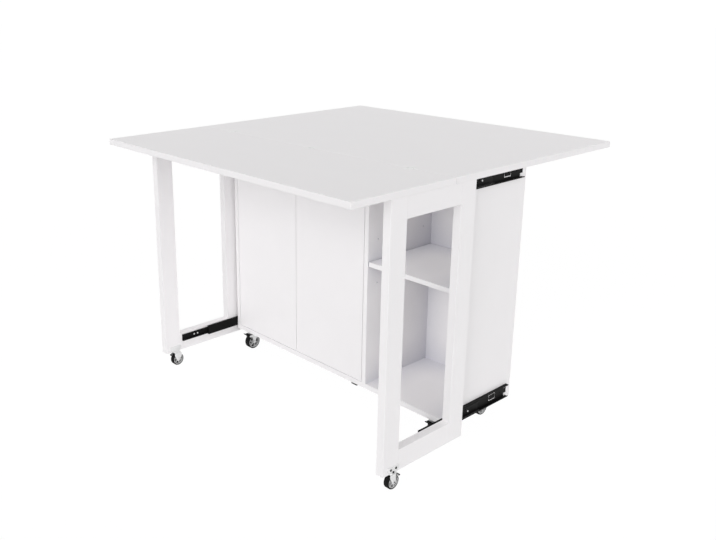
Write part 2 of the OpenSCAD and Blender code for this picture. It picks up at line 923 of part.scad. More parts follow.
module right_slide_inners() {
    color(black) for (z = z_slides) inner_member(z);
}

module left_slide_inners() {
    color(black) left_side() for (z = z_slides) inner_member(z);
}

// Cabinet casters: each module draws one at its place, i for left or right, j for front or back
function caster_x(i) = i == 0 ? -x_caster : x_caster;
function caster_screw_places() = [for (i = [0, 1], j = [0, 1], s = [-1, 1], t = [-1, 1])
    [caster_x(i) + s * caster_screw_in, y_casters[j] + t * caster_screw_in]];

module caster_plates() {
    c = 5;
    w = plate_w / 2;
    color(steel) for (i = [0, 1], j = [0, 1]) translate([caster_x(i), y_casters[j], 0])
        difference() {
            union() {
                translate([-w, -w, z_cab - plate_t]) linear_extrude(plate_t)
                    chamfered_rect(plate_w, plate_w, c);
                z_rod(0, 0, z_cab - plate_t - cup_h, z_cab - plate_t + eps, cup_r);
                z_rod(0, 0, fork_top - fork_head_t - air - eps, z_cab - plate_t, kingpin_r);
                z_rod(0, 0, fork_top - fork_head_t - air - 2, fork_top - fork_head_t - air,
                      kingpin_r + 2.5);
            }
            for (s = [-1, 1], t = [-1, 1])
                z_rod(s * caster_screw_in, t * caster_screw_in, z_cab - plate_t - 1, z_cab + 1,
                      caster_screw_r + slip);
        }
}

module caster_screws() {
    color(steel) for (p = caster_screw_places()) union() {
        z_rod(p.x, p.y, z_cab - plate_t - 0.1, z_cab - plate_t + caster_screw_len, caster_screw_r);
        translate([p.x, p.y, z_cab - plate_t - 2]) cylinder(h = 2, r1 = 2.6, r2 = 4);
    }
}

// A swivel fork with its axle and, on the front casters, the pedal's pivot pin
module fork(i, j) {
    z_head = fork_top - fork_head_t;
    z_arm = z_head + 2.5;
    arm_front = j == 0 ? -pedal_pivot.x - 4 : -trail - 12;
    translate([caster_x(i), y_casters[j], 0]) {
        difference() {
            union() {
                z_rod(0, 0, z_head, fork_top, cup_r - 2);
                box([-fork_out, -trail - 14, z_head], [fork_out, 4, z_arm]);
                for (s = [-1, 1]) {
                    x0 = s > 0 ? fork_in : -fork_out;
                    translate([x0, 0, 0]) rotate([90, 0, 90]) linear_extrude(fork_leg_t)
                        polygon([[4, z_arm], [arm_front, z_arm], [arm_front, pedal_pivot.y - 4],
                                 [-trail - 11, z_head - 8], [-trail - 4, z_axle],
                                 [-trail + 4, z_axle], [-trail + 13, z_head - 8], [4, z_head - 3]]);
                    x_rod(x0, x0 + fork_leg_t, -trail, z_axle, 5.5);
                }
            }
            z_rod(0, 0, z_head - 1, fork_top + 1, kingpin_r + run);
            x_rod(-fork_out - 1, fork_out + 1, -trail, z_axle, axle_d / 2 + slip);
            if (j == 0) x_rod(-fork_out - 1, fork_out + 1, -pedal_pivot.x, pedal_pivot.y,
                              pedal_pin_r + slip);
        }
        union() {
            x_rod(-fork_out - 2, fork_out + 2, -trail, z_axle, axle_d / 2);
            for (s = [-1, 1]) {
                x0 = s > 0 ? fork_out : -fork_out - 2;
                x_rod(x0, x0 + 2, -trail, z_axle, axle_d / 2 + 1.6);
            }
        }
        if (j == 0) x_rod(-fork_out, fork_out, -pedal_pivot.x, pedal_pivot.y, pedal_pin_r);
    }
}

module front_left_fork() {
    color(steel) fork(0, 0);
}

module front_right_fork() {
    color(steel) fork(1, 0);
}

module back_left_fork() {
    color(steel) fork(0, 1);
}

module back_right_fork() {
    color(steel) fork(1, 1);
}

// A wheel on an axis along X: a dished hub and a tyre
module wheel_at(x, y, d, w) {
    r = d / 2;
    rim = r - tyre_t;
    half = w / 2;
    translate([x, y, r]) rotate([0, 90, 0]) {
        color(grey) rotate_extrude() polygon([
            [axle_d / 2 + run, -half], [axle_d / 2 + 3, -half], [axle_d / 2 + 3.5, -half + 3],
            [rim - 3, -half + 3], [rim - 2, -half + 0.5], [rim, -half + 0.5],
            [rim, half - 0.5], [rim - 2, half - 0.5], [rim - 3, half - 3],
            [axle_d / 2 + 3.5, half - 3], [axle_d / 2 + 3, half], [axle_d / 2 + run, half]]);
        color(black) rotate_extrude() polygon([
            [rim + slip, -half], [r - 1, -half], [r - 0.3, -half + 0.7], [r, -half + 2],
            [r, half - 2], [r - 0.3, half - 0.7], [r - 1, half], [rim + slip, half]]);
    }
}

module caster_wheel(i, j) {
    wheel_at(caster_x(i), y_casters[j] - trail, wheel_d, wheel_w);
}

module front_left_wheel() {
    caster_wheel(0, 0);
}

module front_right_wheel() {
    caster_wheel(1, 0);
}

module back_left_wheel() {
    caster_wheel(0, 1);
}

module back_right_wheel() {
    caster_wheel(1, 1);
}

// Brake pedal on a front caster, shown released
module pedal(i) {
    half = fork_in - 0.6;
    color(black) translate([caster_x(i), y_casters[0] - pedal_pivot.x, pedal_pivot.y])
        rotate([-pedal_tilt, 0, 0]) difference() {
            union() {
                x_rod(-half, half, 0, 0, pedal_hub_r);
                box([-half, -7, -1], [half, 0, 1]);
                translate([0, 0, -1]) linear_extrude(2)
                    polygon([[-half - 2, -6], [-half, -pedal_len], [half, -pedal_len], [half + 2, -6]]);
                box([-half, -pedal_len, -1.6], [half, -pedal_len + 2, 2]);
                box([-half + 3, -2, -pedal_shoe], [half - 3, 2, 0]);
            }
            x_rod(-half - 1, half + 1, 0, 0, pedal_pin_r + run);
        }
}

module front_left_pedal() {
    pedal(0);
}

module front_right_pedal() {
    pedal(1);
}

// Frame casters, i = 0 right or 1 left, each drawn about the middle of its wheel
module at_frame_wheel(i) {
    translate([x_frame_wheels[i], y_frame_axle, 0]) rotate([0, 0, 180 * i]) children();
}

frame_legs = [-frame_wheel_w / 2 - leg_gap - leg_t, frame_wheel_w / 2 + leg_gap];
z_crown = frame_lift - 0.2;
z_lever = z_frame_axle + lever_at.y;
x_lever = frame_legs[1] + leg_t + 0.2;

// A bent bracket with a plate, a crown and two legs, one of them wider to hold the lever
module bracket_body() {
    translate([frame_wheel_off, -bracket_w / 2, z_crown - 1.6]) rotate([90, 0, 90])
        linear_extrude(bracket_t) polygon([
            [10, 0], [bracket_w - 10, 0], [bracket_w, 12], [bracket_w, bracket_h - 6],
            [bracket_w - 6, bracket_h], [6, bracket_h], [0, bracket_h - 6], [0, 12]]);
    box([frame_legs[0], -14, z_crown - 1.6], [frame_legs[1] + leg_t, 14, z_crown]);
    for (x0 = frame_legs) {
        translate([x0, 0, 0]) rotate([90, 0, 90]) linear_extrude(leg_t)
            polygon([[-14, z_crown], [-7, z_frame_axle - 1], [7, z_frame_axle - 1], [14, z_crown]]);
        x_rod(x0, x0 + leg_t, 0, z_frame_axle, 7);
    }
    translate([frame_legs[1], 0, 0]) rotate([90, 0, 90]) linear_extrude(leg_t)
        polygon([[8, z_frame_axle + 4], [lever_at.x + 4, z_lever - 5], [lever_at.x + 4, z_lever + 4],
                 [10, z_crown]]);
}

module frame_bracket() {
    axle_reach = frame_legs[1] + leg_t + 1.5;
    difference() {
        union() bracket_body();
        x_rod(-axle_reach, axle_reach, 0, z_frame_axle, axle_d / 2 + slip);
        x_rod(frame_legs[1] - 1, axle_reach, lever_at.x, z_lever, lever_pin_r + slip);
        for (p = bracket_screws)
            x_rod(frame_wheel_off - 1, frame_wheel_off + bracket_t + 1, p.x, frame_lift + p.y,
                  bracket_screw_r + slip);
    }
    union() {
        x_rod(-axle_reach, axle_reach, 0, z_frame_axle, axle_d / 2);
        for (x0 = [-axle_reach, axle_reach - 1.5])
            x_rod(x0, x0 + 1.5, 0, z_frame_axle, axle_d / 2 + 1.6);
    }
    union() {
        x_rod(frame_legs[1] - 0.3, x_lever + lever_t + 0.7, lever_at.x, z_lever, lever_pin_r);
        x_rod(x_lever + lever_t + 0.1, x_lever + lever_t + 0.7, lever_at.x, z_lever,
              lever_pin_r + 1.2);
    }
}

// A screw along X with its head at x, and its tip len away towards dir
module bracket_screw(x, y, z, len, dir) {
    translate([x, y, z]) rotate([0, 90 * dir, 0]) union() {
        z_rod(0, 0, -0.1, len, bracket_screw_r);
        translate([0, 0, -bracket_head_h]) cylinder(h = bracket_head_h, r1 = 2.4, r2 = 3.4);
    }
}

module right_frame_caster() {
    color(grey) at_frame_wheel(0) frame_bracket();
    color(black) for (p = bracket_screws)
        bracket_screw(x_frame_out + bracket_t, y_frame_axle + p.x, frame_lift + p.y,
                      bracket_screw_len + bracket_t, -1);
}

// The left bracket's screws come through the stile from its outer face
module left_frame_caster() {
    color(grey) at_frame_wheel(1) frame_bracket();
    color(black) for (p = bracket_screws)
        bracket_screw(-x_frame_out, y_frame_axle + p.x, frame_lift + p.y, frame_t + bracket_t, 1);
}

module right_frame_wheel() {
    wheel_at(x_frame_wheels[0], y_frame_axle, frame_wheel_d, frame_wheel_w);
}

module left_frame_wheel() {
    wheel_at(x_frame_wheels[1], y_frame_axle, frame_wheel_d, frame_wheel_w);
}

// Brake lever: an arm on a pin beside the wheel with a foot tab across the tyre
module frame_brake(i) {
    color(black) at_frame_wheel(i) translate([x_lever, lever_at.x, z_lever])
        rotate([-lever_tilt, 0, 0]) difference() {
            union() {
                x_rod(0, lever_t, 0, 0, 3.5);
                box([0, 0, -2.5], [lever_t, lever_len, 2.5]);
                box([-14, lever_len - 4, -1.5], [0.5, lever_len, 1.5]);
            }
            x_rod(-1, lever_t + 1, 0, 0, lever_pin_r + run);
        }
}

module right_frame_brake() {
    frame_brake(0);
}

module left_frame_brake() {
    frame_brake(1);
}

// Small glide pad screwed under the front edge of the bottom panel
module centre_glide() {
    y0 = y_cab + glide_inset;
    color(black) box([glide_x - glide_len / 2, y0, z_cab - glide_h],
                     [glide_x + glide_len / 2, y0 + glide_w, z_cab]);
}

fixed_top();
top_hinge_plates();
left_side_panel();
right_side_panel();
divider_panel();
bottom_panel();
back_panel();
front_top_rail();
back_top_rail();
bay_shelf();
cupboard_shelf();
shelf_clips();
dowels();
top_screws();
pivot_bushes();
latch_housings();
slide_outers();
slide_screws();
caster_plates();
caster_screws();
centre_glide();
front_leaf();
leaf_hinge_plates();
hinge_links();
hinge_pins();
left_door();
right_door();
left_door_fittings();
right_door_fittings();
left_latch_plunger();
right_latch_plunger();
right_frame_front_stile();
right_frame_back_stile();
right_frame_top_rail();
right_frame_bottom_rail();
left_frame_front_stile();
left_frame_back_stile();
left_frame_top_rail();
left_frame_bottom_rail();
right_slide_inners();
left_slide_inners();
right_slide_middles();
left_slide_middles();
right_frame_caster();
left_frame_caster();
right_frame_wheel();
left_frame_wheel();
right_frame_brake();
left_frame_brake();
front_left_fork();
front_right_fork();
back_left_fork();
back_right_fork();
front_left_wheel();
front_right_wheel();
back_left_wheel();
back_right_wheel();
front_left_pedal();
front_right_pedal();
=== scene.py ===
"""Folding kitchen island: finishes, fittings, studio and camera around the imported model."""

import json
import math

import bmesh
import bpy
from mathutils import Matrix, Vector


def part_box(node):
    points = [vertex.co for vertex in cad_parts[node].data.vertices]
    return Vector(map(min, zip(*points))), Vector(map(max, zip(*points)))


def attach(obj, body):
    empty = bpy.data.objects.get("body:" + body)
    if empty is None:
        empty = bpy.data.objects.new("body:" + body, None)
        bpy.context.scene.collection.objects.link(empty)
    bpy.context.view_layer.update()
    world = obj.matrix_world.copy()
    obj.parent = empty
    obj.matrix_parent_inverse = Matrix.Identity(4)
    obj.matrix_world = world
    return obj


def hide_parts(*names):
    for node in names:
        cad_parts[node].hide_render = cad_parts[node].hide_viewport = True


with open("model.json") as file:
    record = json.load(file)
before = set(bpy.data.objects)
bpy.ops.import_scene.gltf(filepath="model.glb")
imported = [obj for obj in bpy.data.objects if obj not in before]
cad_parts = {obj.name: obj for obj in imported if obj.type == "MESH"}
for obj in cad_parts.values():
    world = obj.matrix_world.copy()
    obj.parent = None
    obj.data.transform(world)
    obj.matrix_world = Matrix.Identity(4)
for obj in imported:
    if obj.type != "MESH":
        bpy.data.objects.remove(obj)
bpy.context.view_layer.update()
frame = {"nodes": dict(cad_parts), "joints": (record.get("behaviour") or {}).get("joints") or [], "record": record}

MM = 0.001

# Photograph: size in pixels, focal length and principal point in pixels, camera place in metres,
# its turns in degrees
IMAGE_W = 716
IMAGE_H = 540
FOCAL_PX = 835.4
CENTRE_PX = (297.34, 238.11)
SENSOR_MM = 36.0
CAMERA_AT = (2.0187, -2.0585, 1.4319)
CAMERA_YAW = 48.575
CAMERA_DOWN = 16.895
CAMERA_ROLL = -0.126


# Finishes: a wire is a value inside a finish, and arithmetic on it adds nodes

class Wire:
    def __init__(self, finish, socket):
        self.finish = finish
        self.socket = socket

    def __add__(self, other):
        return self.finish.maths("ADD", self, other)

    def __radd__(self, other):
        return self.finish.maths("ADD", other, self)

    def __rmul__(self, other):
        return self.finish.maths("MULTIPLY", other, self)


class Finish:
    """The nodes of a new material, or of the world that is given as its holder."""

    def __init__(self, name, holder=None):
        self.holder = holder or bpy.data.materials.new(name)
        self.holder.use_nodes = True
        self.tree = self.holder.node_tree
        self.tree.nodes.clear()

    def add(self, kind, values=None, out=0, **settings):
        """A new node with its settings and inputs; gives back the output that out names."""
        node = self.tree.nodes.new(kind)
        for key, value in settings.items():
            setattr(node, key, value)
        for key, value in (values or {}).items():
            if isinstance(value, Wire):
                self.tree.links.new(value.socket, node.inputs[key])
            else:
                node.inputs[key].default_value = value
        return Wire(self, node.outputs[out]) if node.outputs else None

    def maths(self, operation, a, b):
        return self.add("ShaderNodeMath", {0: a, 1: b}, operation=operation)

    def place(self):
        return self.add("ShaderNodeTexCoord", out="Object")

    def noise(self, scale, detail=3.0, stretch=(1.0, 1.0, 1.0)):
        spot = self.add("ShaderNodeMapping", {"Vector": self.place(), "Scale": stretch})
        return self.add("ShaderNodeTexNoise", {"Vector": spot, "Scale": scale, "Detail": detail})

    def blend(self, factor, a, b):
        """A colour between a and b: the Mix node's colour sockets are inputs 6 and 7, output 2."""
        return self.add("ShaderNodeMix", {0: factor, 6: a, 7: b}, out=2, data_type="RGBA")

    def bump(self, height, strength, distance):
        return self.add("ShaderNodeBump",
                        {"Height": height, "Strength": strength, "Distance": distance})

    def surface(self, colour, roughness, metallic=0.0, normal=None, coat=0.0, specular=0.5):
        values = {"Base Color": colour, "Roughness": roughness, "Metallic": metallic,
                  "Coat Weight": coat, "Specular IOR Level": specular}
        if normal:
            values["Normal"] = normal
        shader = self.add("ShaderNodeBsdfPrincipled", values)
        self.add("ShaderNodeOutputMaterial", {"Surface": shader})
        return self.holder


WHITE_BOARD = 0.865
BOARD_TINT = (1.008, 0.99, 1.0)
# Painted shade for the bay's boards: the dim bluish colour of their corners, how far the ambient occlusion reaches
# in metres, its ray count, and how far behind the divider's front edge it starts
PAINTED_SHADE_TINT = (0.62, 0.62, 0.69)
PAINTED_SHADE_REACH = 0.12
PAINTED_SHADE_RAYS = 8
EDGE_MARGIN = 0.002
BAY_BOARDS = ("divider_panel", "back_panel", "bottom_panel", "bay_shelf")


def tinted(level, tint=(1.0, 1.0, 1.0)):
    """The colour of a level, with its red, green and blue scaled by a tint."""
    return (*(level * share for share in tint), 1.0)


def faced_board(name, level, front_edge=None):
    """Melamine: near white, with a faint mottle and the orange peel of its press plate.

    Behind front_edge, where one is given, painted shade makes it dimmer and bluish towards its corners: ambient
    occlusion darkens the colour where shade falls.
    """
    f = Finish(name)
    mottle = f.noise(scale=9.0)
    peel = f.noise(scale=900.0, detail=2.0)
    colour = f.blend(mottle, tinted(level * 0.985, BOARD_TINT), tinted(level * 1.01, BOARD_TINT))
    # Painted shade: ambient occlusion dims and blues the colour towards corners, behind the front edge only
    if front_edge is not None:
        shade_openness = f.add("ShaderNodeAmbientOcclusion", {"Distance": PAINTED_SHADE_REACH}, out="AO",
                         samples=PAINTED_SHADE_RAYS)
        depth = f.add("ShaderNodeSeparateXYZ", {"Vector": f.place()}, out="Y")
        before = f.maths("LESS_THAN", depth, front_edge)
        colour = f.blend(f.maths("MAXIMUM", shade_openness, before), tinted(level, PAINTED_SHADE_TINT), colour)
    return f.surface(colour, roughness=0.42 + 0.1 * mottle, specular=0.35,
                     normal=f.bump(peel, strength=0.06, distance=0.0004))


def plated_steel(name, level):
    """Zinc plate: brushed fine streaks and cloudy roughness."""
    f = Finish(name)
    streak = f.noise(scale=160.0, detail=4.0, stretch=(1.0, 6.0, 1.0))
    colour = f.blend(f.noise(scale=60.0), tinted(level * 0.88), tinted(level))
    return f.surface(colour, roughness=0.28 + 0.16 * streak, metallic=1.0,
                     normal=f.bump(streak, strength=0.05, distance=0.0002))


def coated_steel(name, level, roughness, coat, specular):
    """Lacquer or enamel on steel: smooth, with a little dust in the coat."""
    f = Finish(name)
    dust = f.noise(scale=420.0, detail=2.0)
    colour = f.blend(f.noise(scale=30.0), tinted(level * 0.93), tinted(level))
    return f.surface(colour, roughness=roughness + 0.12 * dust, coat=coat, specular=specular,
                     normal=f.bump(dust, strength=0.05, distance=0.0002))


def moulded(name, level, roughness, specular=0.5):
    """Moulded plastic with a fine spark-eroded grain."""
    f = Finish(name)
    grain = f.noise(scale=1500.0, detail=2.0)
    colour = f.blend(f.noise(scale=40.0), tinted(level * 0.92), tinted(level))
    return f.surface(colour, roughness=roughness + 0.1 * grain, specular=specular,
                     normal=f.bump(grain, strength=0.15, distance=0.0002))


def tread_rubber(name):
    """Black rubber with dull scuffs."""
    f = Finish(name)
    scuff = f.noise(scale=220.0, detail=5.0)
    colour = f.blend(scuff, tinted(0.004), tinted(0.011))
    return f.surface(colour, roughness=0.62 + 0.25 * scuff, specular=0.1,
                     normal=f.bump(scuff, strength=0.2, distance=0.0003))


def raw_birch(name):
    """Raw wood for the dowels, with its grain along X."""
    f = Finish(name)
    grain = f.noise(scale=90.0, detail=4.0, stretch=(0.15, 1.0, 1.0))
    colour = f.blend(grain, (0.55, 0.36, 0.2, 1.0), (0.72, 0.54, 0.35, 1.0))
    return f.surface(colour, roughness=0.65 + 0.1 * grain,
                     normal=f.bump(grain, strength=0.2, distance=0.0003))


FINISHES = {
    "top_board": faced_board("top_laminate", 0.85),
    "white_board": faced_board("white_melamine", WHITE_BOARD),
    "enamelled_steel": coated_steel("white_enamel", 0.88, roughness=0.4, coat=0.0, specular=0.35),
    "zinc_steel": plated_steel("zinc_plate", 0.7),
    "black_steel": coated_steel("black_lacquer", 0.004, roughness=0.45, coat=0.0, specular=0.1),
    "bracket_steel": coated_steel("pale_lacquer", 0.78, roughness=0.35, coat=0.15, specular=0.5),
    "white_plastic": moulded("white_moulding", 0.8, roughness=0.4),
    "grey_plastic": moulded("grey_moulding", 0.5, roughness=0.4),
    "black_plastic": moulded("black_moulding", 0.005, roughness=0.5, specular=0.12),
    "wheel_rubber": tread_rubber("tyre_rubber"),
    "dowel_wood": raw_birch("birch_dowel"),
}
BALL_STEEL = plated_steel("ball_steel", 0.8)
# The bay's boards: white melamine with painted shade towards their corners
BAY_BOARD_PAINTED_SHADE = faced_board("bay_melamine_painted_shade", WHITE_BOARD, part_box("divider_panel")[0].y + EDGE_MARGIN)

# Every imported part gets the finish of its slot, and the bay's boards their own, with painted shade in their
# corners
for part in frame["record"]["subparts"]:
    shell = frame["nodes"][part["node"]]
    shell.data.materials.clear()
    in_bay = part["node"] in BAY_BOARDS
    shell.data.materials.append(BAY_BOARD_PAINTED_SHADE if in_bay else FINISHES[part["material_slot"]])


# Shapes: lengths in millimetres here, turned to metres when a piece is finished

AXIS = {"X": Vector((1, 0, 0)), "Y": Vector((0, 1, 0)), "Z": Vector((0, 0, 1))}
OUTWARD = {"X": Vector((0, 0, 1)), "Y": Vector((0, 0, 1)), "Z": Vector((1, 0, 0))}
ORIGIN = Vector((0, 0, 0))
TOUCH = 0.001
CUT_PAST = 1.0
SHARP_DEGREES = 32
ROUND_STEPS = 48
WHEEL_STEPS = 64
PIN_STEPS = 20


def turned(profile, axis, centre=ORIGIN, steps=ROUND_STEPS):
    """Spins a closed outline of (along, radius) points about an axis through centre."""
    bm = bmesh.new()
    along, outward = AXIS[axis], OUTWARD[axis]
    ring = [bm.verts.new(Vector(centre) + along * a + outward * r) for a, r in profile]
    sides = [bm.edges.new((ring[i - 1], ring[i])) for i in range(len(ring))]
    bmesh.ops.spin(bm, geom=ring + sides, cent=centre, axis=along, angle=math.tau, steps=steps,
                   use_merge=True)
    bmesh.ops.remove_doubles(bm, verts=bm.verts, dist=TOUCH)
    bmesh.ops.recalc_face_normals(bm, faces=bm.faces)
    return bm


def both_sides(side):
    """An outline from one half of it and the mirror image of that half."""
    return side + [(-a, b) for a, b in reversed(side)]


def rim_edges(bm, axis):
    """The edges that lie square to an axis, at the ends of a straight extrusion."""
    along = AXIS[axis]
    places = [v.co.dot(along) for v in bm.verts]
    ends = (min(places), max(places))
    return [e for e in bm.edges
            if any(all(abs(v.co.dot(along) - end) < TOUCH for v in e.verts) for end in ends)]


def rounded(bm, geom, size, segments, affect="EDGES"):
    """Rounds edges or corners, unless the size is nought."""
    if size:
        bmesh.ops.bevel(bm, geom=geom, offset=size, offset_type="OFFSET", segments=segments,
                        profile=0.5, affect=affect, material=-1)


def cut_plate(outline, axis, start, thickness, corner=0.0, edge=0.0):
    """A flat outline with rounded corners, grown along an axis, with its edges broken."""
    bm = bmesh.new()
    place = {"X": lambda a, b: (start, a, b), "Y": lambda a, b: (a, start, b),
             "Z": lambda a, b: (a, b, start)}[axis]
    bm.faces.new([bm.verts.new(place(a, b)) for a, b in outline])
    rounded(bm, list(bm.verts), corner, segments=5, affect="VERTICES")
    grown = bmesh.ops.extrude_face_region(bm, geom=list(bm.faces))
    far_side = [g for g in grown["geom"] if isinstance(g, bmesh.types.BMVert)]
    bmesh.ops.translate(bm, vec=AXIS[axis] * thickness, verts=far_side)
    rounded(bm, rim_edges(bm, axis), edge, segments=2)
    bmesh.ops.recalc_face_normals(bm, faces=bm.faces)
    return bm


def soft_box(low, high, edge=0.0, segments=2):
    """A box between two corners with rounded edges."""
    bm = bmesh.new()
    low, high = Vector(low), Vector(high)
    bmesh.ops.create_cube(bm, size=1.0)
    bmesh.ops.scale(bm, vec=high - low, verts=bm.verts)
    bmesh.ops.translate(bm, vec=(low + high) / 2, verts=bm.verts)
    rounded(bm, list(bm.edges), edge, segments)
    return bm


def rod(axis, centre, start, end, radius, edge=0.0, steps=32):
    """A round bar along an axis, with its ends broken by edge."""
    profile = [(start, 0), (start, radius - edge), (start + edge, radius), (end - edge, radius),
               (end, radius - edge), (end, 0)]
    return turned(profile, axis, centre, steps)


def moved(bm, matrix):
    bmesh.ops.transform(bm, matrix=matrix, verts=bm.verts)
    if matrix.determinant() < 0:
        bmesh.ops.reverse_faces(bm, faces=bm.faces)
    return bm


def joined(*shapes):
    """One bmesh with all the shapes in it; the shapes are used up."""
    whole = bmesh.new()
    for shape in shapes:
        carrier = bpy.data.meshes.new("carrier")
        shape.to_mesh(carrier)
        whole.from_mesh(carrier)
        bpy.data.meshes.remove(carrier)
        shape.free()
    return whole


def carved(body, *cutters):
    """The body with the cutters' shapes taken away; all of them are used up."""
    objects = []
    for shape in (body, *cutters):
        mesh = bpy.data.meshes.new("carving")
        shape.to_mesh(mesh)
        shape.free()
        objects.append(bpy.data.objects.new("carving", mesh))
        bpy.context.collection.objects.link(objects[-1])
    for cutter in objects[1:]:
        cut = objects[0].modifiers.new("cut", "BOOLEAN")
        cut.operation = "DIFFERENCE"
        cut.solver = "EXACT"
        cut.object = cutter
    bpy.context.view_layer.update()
    result = objects[0].evaluated_get(bpy.context.evaluated_depsgraph_get())
    bm = bmesh.new()
    bm.from_mesh(result.data)
    for carving in objects:
        mesh = carving.data
        bpy.data.objects.remove(carving)
        bpy.data.meshes.remove(mesh)
    return bm


def piece(name, bm, slot, body, stands_for, finish=None, sharp=SHARP_DEGREES):
    """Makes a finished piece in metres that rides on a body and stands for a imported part."""
    bmesh.ops.remove_doubles(bm, verts=bm.verts, dist=TOUCH / 2)
    bmesh.ops.scale(bm, vec=(MM, MM, MM), verts=bm.verts)
    for face in bm.faces:
        face.smooth = True
    for edge in bm.edges:
        edge.smooth = edge.calc_face_angle(math.pi) < math.radians(sharp)
    mesh = bpy.data.meshes.new(name)
    bm.to_mesh(mesh)
    bm.free()
    mesh.materials.append(finish or FINISHES[slot])
    made = bpy.data.objects.new(name, mesh)
    bpy.context.collection.objects.link(made)
    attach(made, body)
    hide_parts(stands_for)


def joint_at(name):
    """Where a joint's pivot is, in millimetres."""
    place = next(j["pos_m"] for j in frame["joints"] if j["name"] == name)
    return Vector(place) / MM


def low_corner(node):
    """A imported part's lowest corner, in millimetres."""
    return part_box(node)[0] / MM


def high_corner(node):
    """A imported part's highest corner, in millimetres."""
    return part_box(node)[1] / MM


# Pan-head screws: the head's outline in shares of its height and radius, and the cross recess's
# floor, reach and half width in shares of the same; the recess's turns in degrees

HEAD_OUTLINE = ((0.0, 1.0), (0.45, 0.97), (0.85, 0.75), (1.0, 0.4), (1.0, 0.0))
RECESS_FLOOR = 0.35
RECESS_REACH = 0.62
RECESS_HALF = 0.13
FIRST_TWIST = 12
NEXT_TWIST = 37


def cross_screw(head_r, head_h, shank_r, shank_len):
    """A screw along +X with a cross recess: its head stands on x = 0, its shank points back."""
    head = [(head_h * a, head_r * b) for a, b in HEAD_OUTLINE]
    body = turned([(-shank_len, 0), (-shank_len + shank_r, shank_r), (0, shank_r)] + head, "X",
                  steps=24)
    reach, half = head_r * RECESS_REACH, head_r * RECESS_HALF
    slots = []
    for quarter in (0, 1):
        slot = soft_box((head_h * RECESS_FLOOR, -reach, -half), (head_h + CUT_PAST, reach, half))
        slots.append(moved(slot, Matrix.Rotation(quarter * math.pi / 2, 4, "X")))
    return carved(body, *slots)


def screw_set(pattern, places, facing):
    """Copies of a screw at places, each head turned to facing and its recess turned a little."""
    aim = facing.to_track_quat("X", "Z").to_matrix().to_4x4()
    whole = []
    for number, place in enumerate(places):
        twist = Matrix.Rotation(math.radians(NEXT_TWIST * number + FIRST_TWIST), 4, "X")
        whole.append(moved(pattern.copy(), Matrix.Translation(place) @ aim @ twist))
    return joined(*whole)


# Wheels: outlines are in from a wheel's side face, and down from its tread or the tyre's seat

TYRE_THICK = 4.5
TYRE_PLAY = 0.05
TYRE_SHOULDER = ((0.0, 1.5), (0.25, 0.8), (0.8, 0.25), (1.6, 0.03), (2.4, 0.0))
RIM_THICK = 2.2
HUB_RIM = ((0.5, RIM_THICK), (0.1, 1.8), (0.1, 0.0))
HUB_BORE = 3.05
HUB_BOSS = 6.4
HUB_CHAMFER = 0.8
HUB_SPOKES = 6
FIRST_SPOKE = 0.2
SPOKE_IN = 0.9
SPOKE_HALF = 1.5
SPOKE_IN_BOSS = 0.5
SPOKE_BELOW_SEAT = 2.0
# The web of painted shade: its half thickness, and how far it bites into the boss and the rim
WEB_HALF = 1.6
WEB_BITE = 0.1
AXLE_R = 3.0


def tyre(centre, r, half):
    """A rubber ring with short rounded shoulders."""
    shoulder = [(a - half, r - b) for a, b in TYRE_SHOULDER]
    side = [(-half, r - TYRE_THICK + TYRE_PLAY)] + shoulder
    return turned(both_sides(side), "X", centre, WHEEL_STEPS)


def hub(centre, r, half):
    """A moulded hub: a rim ring, a boss round the bore, and spokes from one to the other."""
    seat = r - TYRE_THICK
    ring = [(a - half, seat - b) for a, b in HUB_RIM]
    core = [(-half, HUB_BORE), (-half, HUB_BOSS - HUB_CHAMFER), (HUB_CHAMFER - half, HUB_BOSS)]
    parts = [turned(both_sides(side), "X", centre, WHEEL_STEPS) for side in (ring, core)]
    for spoke in range(HUB_SPOKES):
        rib = soft_box((SPOKE_IN - half, -SPOKE_HALF, HUB_BOSS - SPOKE_IN_BOSS),
                       (half - SPOKE_IN, SPOKE_HALF, seat - SPOKE_BELOW_SEAT),
                       edge=0.4, segments=1)
        turn = Matrix.Rotation(math.tau * spoke / HUB_SPOKES + FIRST_SPOKE, 4, "X")
        parts.append(moved(rib, Matrix.Translation(centre) @ turn))
    return joined(*parts)


def hub_painted_shade_web(centre, r):
    """The disc that closes a hub's middle, deep between its spokes, made black as painted shade for those deep
    pockets.
    """
    inner, outer = HUB_BOSS - WEB_BITE, r - TYRE_THICK - RIM_THICK + WEB_BITE
    side = [(-WEB_HALF, inner), (-WEB_HALF, outer)]
    return turned(both_sides(side), "X", centre, WHEEL_STEPS)


def wheel(name, centre, half, rolling, stands_for):
    """A wheel's tyre, hub, and web; the web is black as painted shade between the spokes."""
    piece(name + "_tyre", tyre(centre, centre.z, half), "wheel_rubber", rolling, stands_for)
    piece(name + "_hub", hub(centre, centre.z, half), "grey_plastic", rolling, stands_for)
    # The web's black is painted shade for the pockets between the spokes
    piece(name + "_hub_painted_shade_web", hub_painted_shade_web(centre, centre.z), "black_plastic", rolling, stands_for)


# Casters under the cabinet. The fork's head is drawn up from its underside, the cheek's foot
# along and up from the axle, and the pedal along and up from its pin.

